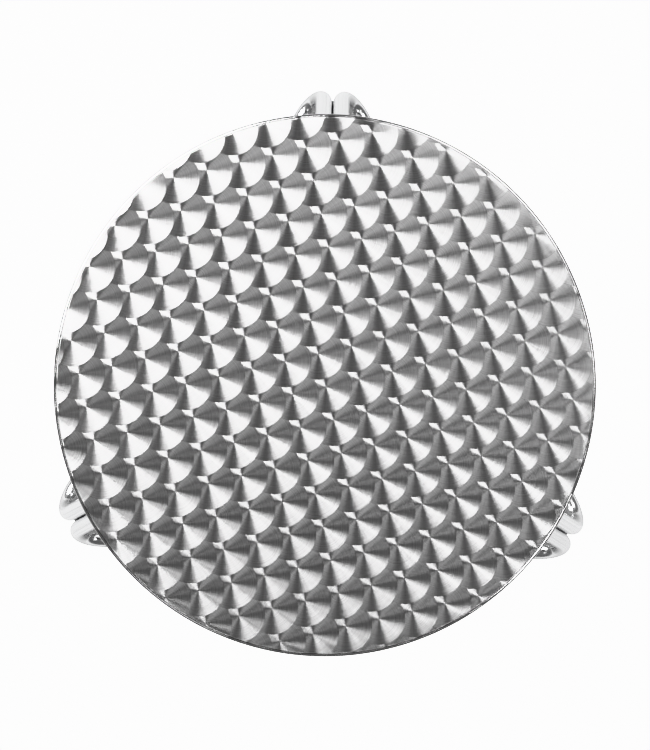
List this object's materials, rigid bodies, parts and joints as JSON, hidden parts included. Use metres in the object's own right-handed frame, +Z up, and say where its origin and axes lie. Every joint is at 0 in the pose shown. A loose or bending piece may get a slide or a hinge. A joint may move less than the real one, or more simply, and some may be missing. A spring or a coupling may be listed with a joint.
{
  "type": "bistro table",
  "caption": "Round bistro table: swirl-finished metal top with a rolled edge on a base of bent tube loops with levelling feet.",
  "frame": {"origin": "on the table's axis at floor level", "axes": "+Z up, +Y towards foot 1, feet 2 and 3 at 120 and 240 degrees counter-clockwise from it seen from above"},
  "size_m": [0.6894, 0.6855, 0.72],
  "materials": {
    "swirled_steel": "engine-turned overlapping swirls, polished rolled edge",
    "board": "raw fibreboard",
    "backing_sheet": "fine matt grain",
    "bright_tube": "bright anodised",
    "cast_aluminium": "tumbled die casting",
    "zinc_steel": "zinc plated",
    "black_plastic": "moulded, fine spark texture",
    "black_nylon": "moulded, fine spark texture",
    "brass": "turned"
  },
  "bodies": {
    "table": {"top_skin": "swirled_steel", "top_core": "board", "top_backing": "backing_sheet", "top_saddle_1": "cast_aluminium", "top_saddle_2": "cast_aluminium", "top_saddle_3": "cast_aluminium", "saddle_screws": "zinc_steel", "loop_tube_1": "bright_tube", "loop_tube_2": "bright_tube", "loop_tube_3": "bright_tube", "tube_plugs": "black_plastic", "waist_hub": "cast_aluminium", "waist_clamp_1": "cast_aluminium", "waist_clamp_2": "cast_aluminium", "waist_clamp_3": "cast_aluminium", "waist_bolts": "zinc_steel", "foot_shoe_1": "black_nylon", "foot_shoe_2": "black_nylon", "foot_shoe_3": "black_nylon", "shoe_screws": "zinc_steel", "glide_insert_1": "brass", "glide_insert_2": "brass", "glide_insert_3": "brass"},
    "pad_1": {"glide_pad_1": "black_nylon"},
    "pad_2": {"glide_pad_2": "black_nylon"},
    "pad_3": {"glide_pad_3": "black_nylon"},
    "stud_1": {"glide_stud_1": "zinc_steel"},
    "stud_2": {"glide_stud_2": "zinc_steel"},
    "stud_3": {"glide_stud_3": "zinc_steel"}
  },
  "joints": [
    {"name": "glide_1_travel", "type": "slide", "parent": "table", "child": "pad_1", "axis": [0, 0, -1], "range_m": [0, 0.008]},
    {"name": "glide_1_turn", "type": "hinge", "parent": "pad_1", "child": "stud_1", "pos_m": [0, 0.359, 0.01], "axis": [0, 0, -1], "range_deg": [0, 2304]},
    {"name": "glide_2_travel", "type": "slide", "parent": "table", "child": "pad_2", "axis": [0, 0, -1], "range_m": [0, 0.008]},
    {"name": "glide_2_turn", "type": "hinge", "parent": "pad_2", "child": "stud_2", "pos_m": [-0.3109, -0.1795, 0.01], "axis": [0, 0, -1], "range_deg": [0, 2304]},
    {"name": "glide_3_travel", "type": "slide", "parent": "table", "child": "pad_3", "axis": [0, 0, -1], "range_m": [0, 0.008]},
    {"name": "glide_3_turn", "type": "hinge", "parent": "pad_3", "child": "stud_3", "pos_m": [0.3109, -0.1795, 0.01], "axis": [0, 0, -1], "range_deg": [0, 2304]}
  ],
  "couplings": [
    {"joint": "glide_1_turn", "follows": "glide_1_travel", "rad_per_m": 5026.5},
    {"joint": "glide_2_turn", "follows": "glide_2_travel", "rad_per_m": 5026.5},
    {"joint": "glide_3_turn", "follows": "glide_3_travel", "rad_per_m": 5026.5}
  ]
}
